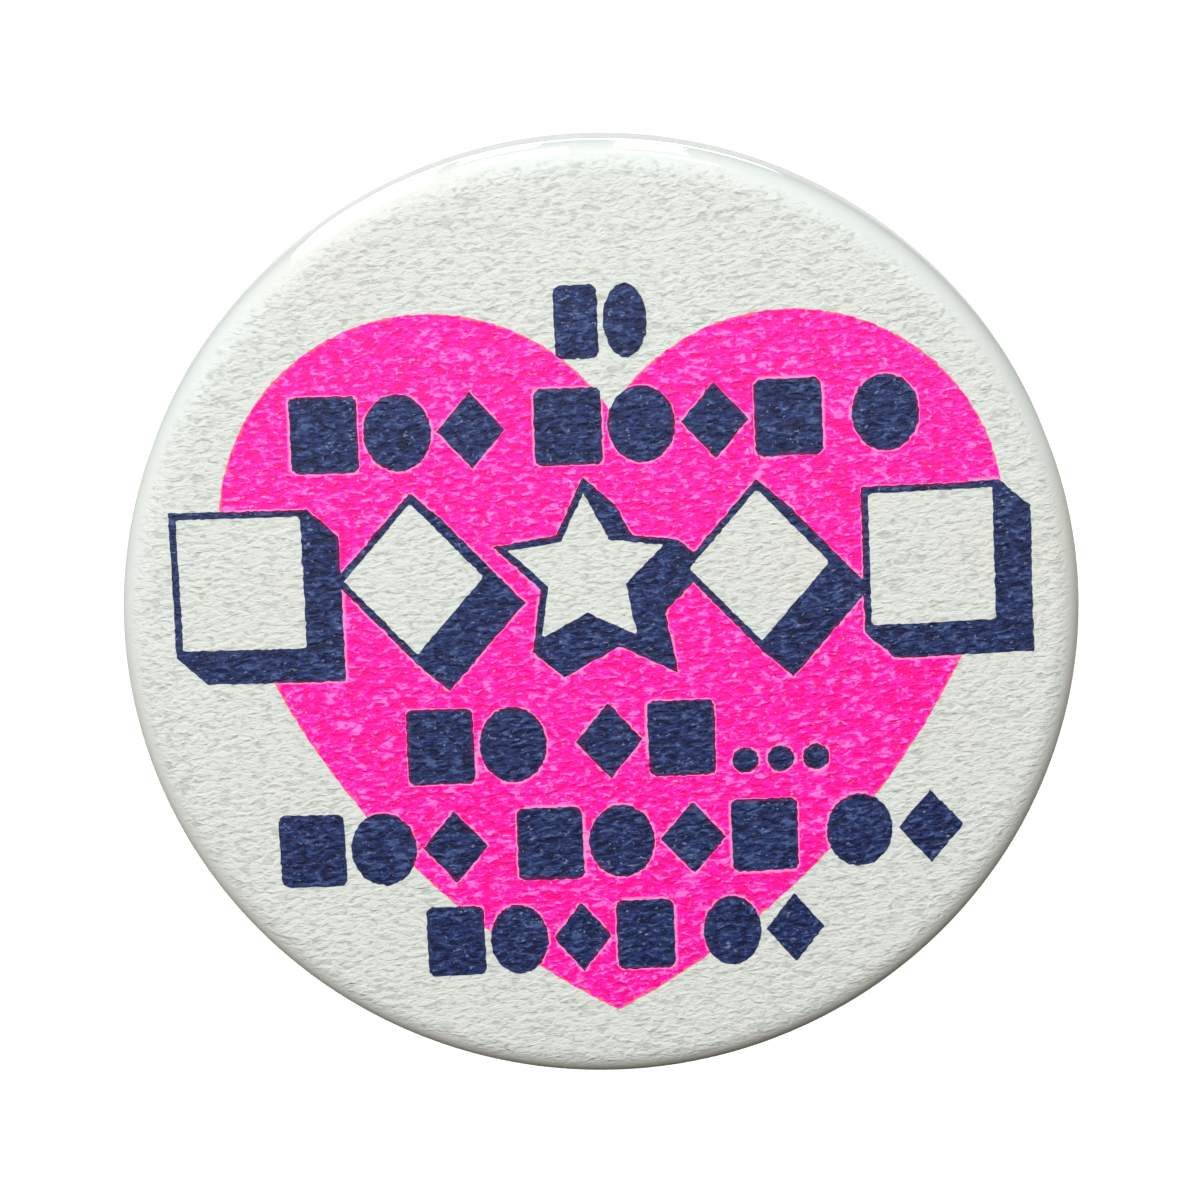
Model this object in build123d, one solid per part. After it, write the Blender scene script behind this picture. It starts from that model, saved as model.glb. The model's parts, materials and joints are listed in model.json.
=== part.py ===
"""Pin-back button badge: a domed tinplate shell with printed paper under clear film, and a wire pin.

Units are millimetres. The badge stands as it is worn: +Z is up, the printed face looks towards -Y,
and the origin is the centre of the flat rear rim, so every depth is measured from there towards -Y.
"""
from build123d import *
import math
import os

# Badge body
badge_diameter = 38.0
dome_rise = 0.7  # how far the face's centre stands in front of its edge
shoulder_radius = 1.3  # rounded edge of the face
rear_corner_radius = 1.0  # rounded edge of the back
skirt_land = 0.8  # flat ring on the back, where the shell's edge is rolled in
tuck_length = 0.8  # run of paper and film trapped behind the rolled edge
headroom = 1.25  # empty space between the back plate and the shell, at the centre

# Sheet and layer thicknesses, from the outside in
film_thickness = 0.08
ink_thickness = 0.02
paper_thickness = 0.15
shell_sheet = 0.25
back_sheet = 0.3

# Back plate
plate_bend_radius = 0.6
plate_clearance = 0.125  # between the plate's wall and the wrapped edge
flange_clearance = 0.35  # between the plate's flange and the shell's wall
bead_inset = 1.5
bead_width = 1.4
bead_height = 0.25

# Wire pin
wire_diameter = 0.8
wire_ball_gap = 0.15  # between the pin's round root and the end of its foot
under_pin_gap = 1.05  # between the pin and the plate
foot_spacing = 3.0  # the foot lies this far below the pin
foot_length = 9.4
bend_room = 2.8  # between the wire's hairpin bend and the edge of the plate's floor
point_room = 3.2  # between the pin's point and the edge of the plate's floor
taper_length = 4.6
point_diameter = 0.1

# Catch that holds the point, and bridges that hold the foot, both cut out of the plate
catch_width = 2.5
catch_gap = 0.25  # between the catch and the pin's full thickness
catch_bend_radius = 0.25
catch_inset = 0.35  # the catch stays this far inside the rear rim
catch_lip_angle = 8.0
point_overhang = 0.6
bridge_width = 2.0
bridge_gap = 0.01
bridge_side_room = 0.15
bridge_slope = 0.6  # how far each leg of a bridge leans out
bridge_bend_radius = 0.3
bridge_offsets = (2.8, 7.4)  # from the pin's root, along the foot
lance_clearance = 0.1  # between a cut-out strip and the sides of its window
lance_tab = 0.4  # where a strip joins the plate's floor

# Printed artwork, drawn for a face of this radius and scaled to the badge's own
drawn_face_radius = 17.7
artwork_shift = 0.45
row_tilt = 1.5
heart_lobe_radius = 8.35
heart_lobe_x = 7.05
heart_lobe_z = 4.05
heart_side_radius = 31.7
heart_tip_z = -16.0
tile_shapes = ("block", "disc", "diamond")
tile_gap = 0.22
group_gap = 1.15
tile_corner = 0.3
dot_diameter = 1.05
dot_pitch = 1.4
emblem_order = ("square", "diamond", "star", "diamond", "square")
emblem_square = (4.9, 5.3)
emblem_diamond = (5.5, 6.1)
emblem_star = 6.4
emblem_pitch = 6.79
emblem_centre = (-0.95, 2.1)
emblem_outline = 0.28
shadow_shift = (1.2, -1.1)
# centre height, tile width, tile height, tiles in each group, dots after the last group
tile_rows = (
    (12.05, 1.7, 2.9, (2,), 0),
    (7.95, 2.65, 3.05, (3, 4, 1), 0),
    (-4.75, 2.65, 3.1, (2, 2), 3),
    (-8.9, 2.62, 3.0, (3, 4, 2), 0),
    (-12.85, 2.3, 2.9, (4, 2), 0),
)

# Sizes that follow from the ones above
outer_radius = badge_diameter / 2
wire_radius = wire_diameter / 2
paper_start = film_thickness + ink_thickness
shell_start = paper_start + paper_thickness
stack = shell_start + shell_sheet
wrap_depth = shell_start + shell_sheet / 2
skirt_end = outer_radius - rear_corner_radius - skirt_land
face_radius = outer_radius - shoulder_radius
catch_opening_radius = wire_radius + catch_gap
pin_depth = catch_inset + back_sheet + catch_opening_radius
recess_depth = pin_depth + wire_radius + under_pin_gap
badge_depth = recess_depth + back_sheet + headroom + stack
shoulder_depth = badge_depth - dome_rise - shoulder_radius
dome_radius = shoulder_radius + (face_radius**2 + dome_rise**2) / (2 * dome_rise)
plate_outer = skirt_end - wrap_depth - plate_clearance
plate_inner = plate_outer - back_sheet
floor_radius = plate_inner - plate_bend_radius
flange_radius = outer_radius - stack - flange_clearance
flange_depth = 2 * wrap_depth
foot_depth = recess_depth - wire_radius
bridge_half_top = wire_radius + bridge_side_room
bridge_half_foot = bridge_half_top + bridge_slope
hairpin_radius = math.hypot(foot_spacing, foot_depth - pin_depth) / 2
root_x = -(floor_radius - bend_room - wire_radius - hairpin_radius)
point_x = floor_radius - point_room
catch_end = point_x - point_overhang
strip_plane = Plane(origin=(0, 0, 0), x_dir=(0, 0, 1), z_dir=(1, 0, 0))  # height, depth
artwork_scale = face_radius / drawn_face_radius


def at(radius, depth):
    """A point of a turned profile, given its radius and its depth in front of the rear rim."""
    return (radius, -depth)


def dome_edge(inset):
    """The point where the dome meets the shoulder, on the surface this far inside the badge."""
    lean = math.asin(face_radius / (dome_radius - shoulder_radius))
    reach = dome_radius - inset
    return at(reach * math.sin(lean), badge_depth - dome_radius + reach * math.cos(lean))


def dome_arc(inset, radius):
    """The dome's curve from the centre out to a radius, on the surface this far inside."""
    reach = dome_radius - inset
    centre_depth = badge_depth - dome_radius
    ends = [at(r, centre_depth + math.sqrt(reach**2 - r**2)) for r in (0, radius / 2, radius)]
    return ThreePointArc(*ends)


def cup_line(inset):
    """The badge's outline from the centre of the face to the rolled edge, this far inside."""
    edge = dome_edge(inset)
    shoulder = shoulder_radius - inset
    corner = rear_corner_radius - inset
    corner_centre = outer_radius - rear_corner_radius
    half = math.sqrt(0.5)
    shoulder_mid = at(face_radius + shoulder * half, shoulder_depth + shoulder * half)
    corner_mid = at(corner_centre + corner * half, rear_corner_radius - corner * half)
    wall = outer_radius - inset
    return [
        dome_arc(inset, edge[0]),
        ThreePointArc(edge, shoulder_mid, at(wall, shoulder_depth)),
        Line(at(wall, shoulder_depth), at(wall, rear_corner_radius)),
        ThreePointArc(at(wall, rear_corner_radius), corner_mid, at(corner_centre, inset)),
        Line(at(corner_centre, inset), at(skirt_end, inset)),
    ]


def tuck_line(inset):
    """The turn around the shell's rolled edge and the short run trapped behind it."""
    turn = wrap_depth - inset
    behind = wrap_depth + turn
    tuck_end = at(skirt_end + tuck_length, behind)
    return [
        ThreePointArc(at(skirt_end, inset), at(skirt_end - turn, wrap_depth), at(skirt_end, behind)),
        Line(at(skirt_end, behind), tuck_end),
    ]


def turned_layer(outside, inside):
    """Turn the layer between two outlines, closed at the centre and at its free end."""
    lines = outside + inside
    lines.append(Line(outside[0] @ 0, inside[0] @ 0))
    lines.append(Line(outside[-1] @ 1, inside[-1] @ 1))
    return revolve(make_face(Curve() + lines), Axis.Y)


def wrapped_layer(start, thickness):
    """A film or paper that covers the shell and wraps around its rolled edge."""
    end = start + thickness
    return turned_layer(cup_line(start) + tuck_line(start), cup_line(end) + tuck_line(end))


def front_shell():
    """The drawn tinplate cup whose skirt is rolled in at the back."""
    return turned_layer(cup_line(shell_start), cup_line(stack))


def ink_layer():
    """The thin space between film and paper over the whole face, which the inks are cut from."""
    front = dome_arc(film_thickness, face_radius)
    back = dome_arc(paper_start, face_radius)
    return turned_layer([front], [back])


def heart():
    """A heart of two round lobes and two long convex sides that meet in a point."""
    lobe = Vector(heart_lobe_x, heart_lobe_z)
    tip = Vector(0, heart_tip_z)
    across = tip - lobe
    spread = heart_side_radius - heart_lobe_radius
    along = (spread**2 - heart_side_radius**2 + across.length**2) / (2 * across.length)
    aside = math.sqrt(spread**2 - along**2)
    forward = across.normalized()
    side_centre = lobe + forward * along + Vector(forward.Y, -forward.X) * aside
    join = lobe + (lobe - side_centre).normalized() * heart_lobe_radius
    cleft = Vector(0, heart_lobe_z + math.sqrt(heart_lobe_radius**2 - heart_lobe_x**2))
    lobe_top = lobe + Vector(0.5, 1).normalized() * heart_lobe_radius
    side_mid = side_centre + ((join + tip) / 2 - side_centre).normalized() * heart_side_radius
    half = make_face(
        Curve() + [
            ThreePointArc(cleft, lobe_top, join),
            ThreePointArc(join, side_mid, tip),
            Line(tip, cleft),
        ]
    )
    return half + mirror(half, Plane.YZ)


def diamond(width, height):
    """A plain diamond of this width and height."""
    return make_face(Polyline((width / 2, 0), (0, height / 2), (-width / 2, 0), (0, -height / 2), close=True))


def star(size):
    """A five-pointed star that fits in a circle of this size."""
    reach = (size / 2, size / 4)
    corners = [
        (reach[i % 2] * math.sin(i * math.pi / 5), reach[i % 2] * math.cos(i * math.pi / 5)) for i in range(10)
    ]
    return make_face(Polyline(*corners, close=True))


def tile(name, width, height):
    """One small printed shape of a row: a rounded block, a disc or a diamond."""
    if name == "block":
        return RectangleRounded(width, height, tile_corner)
    if name == "disc":
        return Ellipse(width / 2, height / 2)
    return diamond(width, height)


def tile_row(width, height, groups, dots):
    """A row of tiles in groups, with round dots after the last group, centred on zero."""
    shapes = []
    x = 0.0
    for group in groups:
        for _ in range(group):
            name = tile_shapes[len(shapes) % len(tile_shapes)]
            shapes.append(Pos(x + width / 2, 0) * tile(name, width, height))
            x += width + tile_gap
        x += group_gap - tile_gap
    for _ in range(dots):
        shapes.append(Pos(x, (dot_diameter - height) / 2) * Circle(dot_diameter / 2))
        x += dot_pitch
    length = x - (dot_pitch - dot_diameter / 2 if dots else group_gap)
    return Pos(-length / 2, 0) * (Sketch() + shapes)


def emblems():
    """The five large shapes that are left unprinted: squares, diamonds and a star."""
    shapes = {
        "square": Rectangle(*emblem_square),
        "diamond": diamond(*emblem_diamond),
        "star": star(emblem_star),
    }
    middle = (len(emblem_order) - 1) / 2
    centre = Pos(*emblem_centre)
    return [centre * Pos((i - middle) * emblem_pitch, 0) * shapes[name] for i, name in enumerate(emblem_order)]


def drop_shadow(shape):
    """A shape's outline together with the ground that it covers when it slides to one side."""
    shift = Vector(*shadow_shift)
    ground = offset(shape, amount=emblem_outline, kind=Kind.INTERSECTION)
    swept = ground + Pos(shift) * ground
    for edge in ground.edges():
        start, end = edge @ 0, edge @ 1
        swept += make_face(Polyline(start, end, end + shift, start + shift, close=True))
    return swept


def artwork():
    """The two printed areas, as flat shapes: the coloured heart and the dark shapes on it."""
    unprinted = Sketch() + emblems()
    dark = Sketch()
    for emblem in emblems():
        dark += drop_shadow(emblem)
    for z, width, height, groups, dots in tile_rows:
        dark += Pos(0, z) * tile_row(width, height, groups, dots)
    tilt = Rot(0, 0, row_tilt)
    dark = tilt * (dark - unprinted)
    unprinted = tilt * unprinted
    pink = heart() - dark - unprinted
    place = Pos(artwork_shift * artwork_scale, 0)
    return [place * scale(area, by=artwork_scale) for area in (pink, dark)]


def printed(area):
    """The ink of one flat area, laid on the domed face."""
    return ink_layer() & extrude(Plane.XZ * area, amount=badge_depth)


def plate_blank():
    """The back plate before its strips are cut: a shallow pan with a bead and an outer flange."""
    line = []
    for depth, bend, wall in (
        (recess_depth, plate_bend_radius, plate_inner),
        (recess_depth + back_sheet, plate_bend_radius + back_sheet, plate_outer),
    ):
        bead = floor_radius - bead_inset
        inner, outer = bead - bead_width / 2, bead + bead_width / 2
        lip_bend = 2 * plate_bend_radius + back_sheet - bend
        lip_depth = flange_depth + plate_bend_radius + back_sheet
        lip_x = plate_outer + plate_bend_radius
        half = math.sqrt(0.5)
        low = at(floor_radius + bend * half, depth - bend + bend * half)
        high = at(lip_x - lip_bend * half, lip_depth - lip_bend * half)
        line.append([
            Line(at(0, depth), at(inner, depth)),
            ThreePointArc(at(inner, depth), at(bead, depth - bead_height), at(outer, depth)),
            Line(at(outer, depth), at(floor_radius, depth)),
            ThreePointArc(at(floor_radius, depth), low, at(wall, depth - bend)),
            Line(at(wall, depth - bend), at(wall, lip_depth)),
            ThreePointArc(at(wall, lip_depth), high, at(lip_x, lip_depth - lip_bend)),
            Line(at(lip_x, lip_depth - lip_bend), at(flange_radius, lip_depth - lip_bend)),
        ])
    return turned_layer(*line)


def strip(path, x, width):
    """A strip of the plate's sheet bent along a path of height and depth."""
    return Pos(x - width / 2, 0, 0) * extrude(strip_plane * trace(path, back_sheet), amount=width)


def window(x, width, low, high):
    """The opening that a strip leaves in the plate's floor."""
    depth = recess_depth + back_sheet / 2
    return Pos(x, -depth, (low + high) / 2) * Box(width + 2 * lance_clearance, 3 * back_sheet, high - low)


def catch_path():
    """The catch's middle line: up from the floor below the pin and around behind it."""
    bend = catch_opening_radius + back_sheet / 2
    floor = recess_depth + back_sheet / 2
    lip = math.radians(90 + catch_lip_angle)
    fold = catch_bend_radius + back_sheet / 2
    stem = FilletPolyline(
        (-bend - fold - lance_tab, floor), (-bend, floor), (-bend, pin_depth), radius=fold
    )
    half, full = lip / 2, lip
    hook = ThreePointArc(
        (-bend, pin_depth),
        (-bend * math.cos(half), pin_depth - bend * math.sin(half)),
        (-bend * math.cos(full), pin_depth - bend * math.sin(full)),
    )
    return Curve() + [stem, hook]


def bridge_path():
    """The middle line of a bridge over the foot of the wire."""
    floor = recess_depth + back_sheet / 2
    top = foot_depth - wire_radius - bridge_gap - back_sheet / 2
    reach = bridge_half_foot + lance_tab
    half = (-reach, -bridge_half_foot, -bridge_half_top)
    corners = [(h, d) for h, d in zip(half, (floor, floor, top))]
    corners += [(-h, d) for h, d in reversed(corners)]
    return FilletPolyline(*[(h - foot_spacing, d) for h, d in corners], radius=bridge_bend_radius)


def back_plate():
    """The pan with its catch and its two bridges, each cut and bent out of the floor."""
    plate = plate_blank()
    catch_x = catch_end - catch_width / 2
    fold_line = -catch_opening_radius - back_sheet - catch_bend_radius
    catch_length = recess_depth - pin_depth + 2 * (catch_opening_radius + back_sheet)
    plate -= window(catch_x, catch_width, fold_line, fold_line + catch_length)
    plate += strip(catch_path(), catch_x, catch_width)
    for along in bridge_offsets:
        x = root_x + along
        plate -= window(x, bridge_width, -foot_spacing - bridge_half_foot, -foot_spacing + bridge_half_foot)
        plate += strip(bridge_path(), x, bridge_width)
    return plate


def pin_foot():
    """The fixed half of the wire: a straight foot and the hairpin bend that acts as its spring."""
    root = Vector(root_x, -pin_depth, 0)
    foot = Vector(root_x, -foot_depth, -foot_spacing)
    centre = (root + foot) / 2
    outward = Vector(-1, 0, 0)
    upward = (root - foot).normalized()
    skip = (wire_radius + wire_ball_gap) / hairpin_radius

    def on_bend(angle):
        return centre + (upward * math.cos(angle) + outward * math.sin(angle)) * hairpin_radius

    bend = ThreePointArc(on_bend(skip), on_bend((skip + math.pi) / 2), on_bend(math.pi))
    path = Curve() + [bend, Line(foot, foot + Vector(foot_length, 0, 0))]
    start = Plane(origin=bend @ 0, z_dir=bend % 0)
    return sweep(start * Circle(wire_radius), path=path)


def pin_arm():
    """The moving half of the wire: a round root, a straight shaft and a long tapered point."""
    length = point_x - root_x
    shaft = length - taper_length
    half = math.sqrt(0.5) * wire_radius
    outline = Curve() + [
        ThreePointArc((-wire_radius, 0), (-half, half), (0, wire_radius)),
        Polyline((0, wire_radius), (shaft, wire_radius), (length, point_diameter / 2), (length, 0)),
        Line((length, 0), (-wire_radius, 0)),
    ]
    return Pos(root_x, -pin_depth, 0) * revolve(make_face(outline), Axis.X)


def main():
    """Build every piece and write each one to its own file."""
    pink, dark = artwork()
    nodes = {
        "clear_film": wrapped_layer(0, film_thickness),
        "printed_paper": wrapped_layer(paper_start, paper_thickness),
        "pink_ink": printed(pink),
        "navy_ink": printed(dark),
        "front_shell": front_shell(),
        "back_plate": back_plate(),
        "pin_foot": pin_foot(),
        "pin_arm": pin_arm(),
    }
    os.makedirs("parts", exist_ok=True)
    for name, shape in nodes.items():
        export_step(shape, f"parts/{name}.step")


main()
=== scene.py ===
"""Looks of a pin-back button badge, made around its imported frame.

The badge stands as it is worn: the printed face looks towards -Y and +Z is up. The paper, the inks,
the clear film and the wire pin are modelled here. The tinplate shell and back plate come from the frame.
"""
import json
import logging
import math
from dataclasses import dataclass
from enum import Enum
from typing import Any, Callable

import bpy
from mathutils import Matrix, Vector
from mathutils.kdtree import KDTree


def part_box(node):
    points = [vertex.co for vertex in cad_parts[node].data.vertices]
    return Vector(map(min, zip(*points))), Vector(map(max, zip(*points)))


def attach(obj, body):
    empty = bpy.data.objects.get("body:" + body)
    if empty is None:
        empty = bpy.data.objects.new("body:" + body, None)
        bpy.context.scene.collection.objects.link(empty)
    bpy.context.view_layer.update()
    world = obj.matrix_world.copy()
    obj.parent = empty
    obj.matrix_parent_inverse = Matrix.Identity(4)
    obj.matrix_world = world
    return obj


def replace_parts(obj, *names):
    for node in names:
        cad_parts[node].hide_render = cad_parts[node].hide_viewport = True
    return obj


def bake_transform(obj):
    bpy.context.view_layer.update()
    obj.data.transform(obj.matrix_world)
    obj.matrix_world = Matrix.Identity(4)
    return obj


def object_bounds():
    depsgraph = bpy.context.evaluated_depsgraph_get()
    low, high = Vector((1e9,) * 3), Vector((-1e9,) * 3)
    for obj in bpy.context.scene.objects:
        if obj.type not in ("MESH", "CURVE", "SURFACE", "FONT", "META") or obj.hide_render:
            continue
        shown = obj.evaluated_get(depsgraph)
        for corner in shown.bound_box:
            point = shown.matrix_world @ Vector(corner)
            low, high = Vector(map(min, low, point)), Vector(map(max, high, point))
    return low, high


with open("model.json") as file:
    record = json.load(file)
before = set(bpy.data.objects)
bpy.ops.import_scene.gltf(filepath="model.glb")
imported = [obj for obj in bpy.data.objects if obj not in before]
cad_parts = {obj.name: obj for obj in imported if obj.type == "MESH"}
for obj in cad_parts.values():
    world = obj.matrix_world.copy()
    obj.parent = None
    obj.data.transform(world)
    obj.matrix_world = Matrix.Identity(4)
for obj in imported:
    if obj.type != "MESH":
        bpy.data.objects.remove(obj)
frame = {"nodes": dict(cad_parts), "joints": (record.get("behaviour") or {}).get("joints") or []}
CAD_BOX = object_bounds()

MM = 0.001
WELD = MM / 5000  # points closer than this are one point
WHITE = "#FFFFFF"
log = logging.getLogger("badge")

Socket = bpy.types.NodeSocket
Node = bpy.types.Node
Tree = bpy.types.NodeTree
Material = bpy.types.Material
Obj = bpy.types.Object
Point = tuple[float, float]


# ---------------------------------------------------------------- materials


def linear(colour: str) -> tuple[float, float, float, float]:
    """Turn an sRGB hex colour into linear light.

    Args:
        colour: Six hex digits after a #.

    Returns:
        Red, green, blue and a full alpha.
    """
    parts = [int(colour[i : i + 2], 16) / 255 for i in (1, 3, 5)]
    light = [p / 12.92 if p <= 0.04045 else ((p + 0.055) / 1.055) ** 2.4 for p in parts]
    return (light[0], light[1], light[2], 1.0)


def add_node(tree: Tree, kind: str, settings: dict | None = None, links: dict | None = None) -> Node:
    """Add a node with its settings and links.

    Args:
        tree: The tree that gets the node.
        kind: The node's type, without its ShaderNode prefix.
        settings: Values by property name, input name or input number.
        links: Output sockets by input name or input number.

    Returns:
        The new node.
    """
    node = tree.nodes.new("ShaderNode" + kind)
    for key, value in (settings or {}).items():
        if isinstance(key, str) and hasattr(node, key):
            setattr(node, key, value)
        else:
            node.inputs[key].default_value = value
    for key, output in (links or {}).items():
        tree.links.new(output, node.inputs[key])
    return node


def new_material(name: str) -> tuple[Material, Tree]:
    """Start an empty node material.

    Args:
        name: The finish's name.

    Returns:
        The material and its node tree.
    """
    material = bpy.data.materials.new(name)
    material.use_nodes = True
    material.node_tree.nodes.clear()
    return material, material.node_tree


def finish_surface(tree: Tree, shader: Socket) -> None:
    """Send a shader to the material's output.

    Args:
        tree: The material's tree.
        shader: The shader that covers the surface.
    """
    add_node(tree, "OutputMaterial", links={"Surface": shader})


def stretched_noise(tree: Tree, cell: Vector, lean: float, **settings: Any) -> Socket:
    """Add noise whose cells have a real size along each axis.

    Args:
        tree: The material's tree.
        cell: The size of one cell, in metres, along X, Y and Z.
        lean: How far the cells are turned in the face's plane, in radians.
        settings: More settings for the noise.

    Returns:
        The noise, from 0 to 1.
    """
    place = add_node(tree, "TexCoord").outputs["Object"]
    turned = add_node(tree, "Mapping", {"Rotation": (0, lean, 0)}, {"Vector": place})
    sized = {"operation": "DIVIDE", 1: tuple(cell)}
    cells = add_node(tree, "VectorMath", sized, {0: turned.outputs["Vector"]})
    noise = add_node(tree, "TexNoise", {"Scale": 1.0, **settings}, {"Vector": cells.outputs["Vector"]})
    return noise.outputs["Fac"]


def remap(tree: Tree, value: Socket, low: Point, high: Point, smooth: bool = True) -> Socket:
    """Turn one range of values into another.

    Args:
        tree: The material's tree.
        value: The value to turn.
        low: An input value and what it becomes.
        high: Another input value and what it becomes.
        smooth: Whether the change eases in and out.

    Returns:
        The new value, held between the two.
    """
    settings = {
        "interpolation_type": "SMOOTHSTEP" if smooth else "LINEAR",
        "From Min": low[0],
        "From Max": high[0],
        "To Min": low[1],
        "To Max": high[1],
    }
    return add_node(tree, "MapRange", settings, {"Value": value}).outputs["Result"]


def blend_colours(tree: Tree, share: Socket, first: str | Socket, second: str) -> Socket:
    """Mix two colours by a share that varies over the surface.

    Args:
        tree: The material's tree.
        share: How much of the second colour shows.
        first: A hex colour, or a colour from another node.
        second: A hex colour.

    Returns:
        The mixed colour.
    """
    share_input, first_input, second_input, colour_output = 0, 6, 7, 2
    mix = add_node(tree, "Mix", {"data_type": "RGBA", second_input: linear(second)}, {share_input: share})
    if isinstance(first, str):
        mix.inputs[first_input].default_value = linear(first)
    else:
        tree.links.new(first, mix.inputs[first_input])
    return mix.outputs[colour_output]


def radius_of(tree: Tree) -> Socket:
    """Measure how far each point of a surface is from the badge's axis.

    Args:
        tree: The material's tree.

    Returns:
        The distance in metres.
    """
    place = add_node(tree, "TexCoord").outputs["Object"]
    flat = add_node(tree, "VectorMath", {"operation": "MULTIPLY", 1: (1, 0, 1)}, {0: place})
    length = add_node(tree, "VectorMath", {"operation": "LENGTH"}, {0: flat.outputs["Vector"]})
    return length.outputs["Value"]


@dataclass(frozen=True)
class FeltGrain:
    """The felt marks of a text paper: soft bumps, longer across the sheet than along it."""

    across: float = 0.42 * MM
    along: float = 0.2 * MM
    lean: float = math.radians(8)
    depth: float = 0.11 * MM
    fibre: float = 0.09 * MM
    fibre_share: float = 0.25
    fade_start: float = 18.1 * MM
    fade_end: float = 18.65 * MM
    stretched_share: float = 0.06

    def height(self, tree: Tree) -> Socket:
        """Make the height of the marks, which fade where the sheet is stretched over the edge.

        Args:
            tree: The material's tree.

        Returns:
            The height as a share of the marks' depth, about zero.
        """
        cell = Vector((self.across, self.across, self.along))
        marks = stretched_noise(tree, cell, self.lean, Detail=2.0, Roughness=0.5, Distortion=0.6)
        fibre_cell = Vector((self.fibre * 2, self.fibre, self.fibre))
        fibres = stretched_noise(tree, fibre_cell, -self.lean, Detail=1.0)
        both = {"operation": "MULTIPLY_ADD", 1: self.fibre_share}
        summed = add_node(tree, "Math", both, {0: fibres, 2: marks}).outputs["Value"]
        mean = 0.5 + self.fibre_share / 2
        centred = add_node(tree, "Math", {"operation": "SUBTRACT", 1: mean}, {0: summed}).outputs["Value"]
        kept = remap(tree, radius_of(tree), (self.fade_start, 1.0), (self.fade_end, self.stretched_share))
        return add_node(tree, "Math", {"operation": "MULTIPLY"}, {0: centred, 1: kept}).outputs["Value"]

    def normal(self, tree: Tree, height: Socket, share: float = 1.0) -> Socket:
        """Turn the height into a shading normal.

        Args:
            tree: The material's tree.
            height: The height of the marks.
            share: How much of the marks' depth this surface shows.

        Returns:
            The normal.
        """
        settings = {"Strength": 1.0, "Distance": self.depth * share}
        return add_node(tree, "Bump", settings, {"Height": height}).outputs["Normal"]


GRAIN = FeltGrain()


@dataclass(frozen=True)
class TextPaper:
    """Uncoated text paper, marked by a felt while it was wet.

    It has no coating, so the eye gets an even, chalky off-white with no shine. The felt's marks show as
    soft shadows from their bumps, and their hollows are painted a little darker as painted shade.
    """

    name: str = "felt_marked_text_paper"
    sheet: str = "#DEE0DF"
    # painted shade: the darker colour given to the felt marks' hollows
    hollow_painted_shade: str = "#C4C9C6"
    warm: str = "#E0DDDA"
    patch: float = 6 * MM
    roughness: float = 0.75

    def build(self) -> Material:
        """Make the material.

        Returns:
            The paper's material.
        """
        material, tree = new_material(self.name)
        height = GRAIN.height(tree)
        # painted shade: the sheet is darkened towards the hollow colour where the felt marks dip
        shade = remap(tree, height, (0.02, 0.0), (-0.22, 1.0))
        patches = stretched_noise(tree, Vector((self.patch,) * 3), 0.0, Detail=1.0)
        toned = blend_colours(tree, remap(tree, patches, (0.45, 0.0), (0.8, 0.7)), self.sheet, self.warm)
        colour = blend_colours(tree, shade, toned, self.hollow_painted_shade)
        settings = {"Roughness": self.roughness, "Specular IOR Level": 0.1}
        links = {"Base Color": colour, "Normal": GRAIN.normal(tree, height)}
        finish_surface(tree, add_node(tree, "BsdfPrincipled", settings, links).outputs["BSDF"])
        return material


@dataclass(frozen=True)
class PrintingInk:
    """A spot ink squeezed into uncoated paper by a stencil duplicator.

    The ink soaks in and stays matt. The eye gets strong flat colour that is lighter on the paper's bumps,
    partly thin ink and partly painted highlight, and darker in its hollows, partly pooled ink and partly
    painted shade. It is missing in specks where the paper took none, and these light specks also stand
    in for painted glints.
    """

    name: str
    full: str
    # partly painted shade: the colour for the hollows, darker both for pooled ink and for shade
    pooled_with_shade: str
    # partly painted highlight: the colour for the bumps, lighter both for thin ink and for light on them
    thin_with_highlight: str
    edge: str
    trap: str
    # the colour of specks where the paper took no ink; these light specks also stand in for painted glints
    bare: str
    bare_and_glint_share: float
    glow: float = 0.0
    speck: float = 0.13 * MM
    roughness: float = 0.6

    def build(self) -> Material:
        """Make the material.

        Returns:
            The ink's material.
        """
        material, tree = new_material(self.name)
        height = GRAIN.height(tree)
        # partly painted shade: darker towards the felt marks' hollows, for pooled ink and for shade
        pooled_with_shade = remap(tree, height, (0.03, 0.0), (-0.12, 1.0))
        colour = blend_colours(tree, pooled_with_shade, self.full, self.pooled_with_shade)
        # partly painted highlight: lighter on the felt marks' bumps, for thin ink and for light on them
        thin_with_highlight = remap(tree, height, (0.04, 0.0), (0.2, 1.0))
        colour = blend_colours(tree, thin_with_highlight, colour, self.thin_with_highlight)
        # specks of missing ink, which also stand in for painted glints
        cell = Vector((self.speck * 1.8, self.speck, self.speck))
        specks = stretched_noise(tree, cell, GRAIN.lean, Detail=2.0, Roughness=0.7)
        limit = 1.0 - self.bare_and_glint_share
        bare_and_glint_specks = remap(tree, specks, (limit, 0.0), (limit + 0.07, 0.8))
        colour = blend_colours(tree, bare_and_glint_specks, colour, self.bare)
        for line, tint in (("bare_edge", self.edge), ("shared_edge", self.trap)):
            along = add_node(tree, "Attribute", {"attribute_name": line}).outputs["Fac"]
            colour = blend_colours(tree, remap(tree, along, (0.4, 0.0), (0.8, 0.85)), colour, tint)
        settings = {"Roughness": self.roughness, "Specular IOR Level": 0.1, "Emission Strength": self.glow}
        links = {"Base Color": colour, "Emission Color": colour, "Normal": GRAIN.normal(tree, height)}
        finish_surface(tree, add_node(tree, "BsdfPrincipled", settings, links).outputs["BSDF"])
        return material


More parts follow.
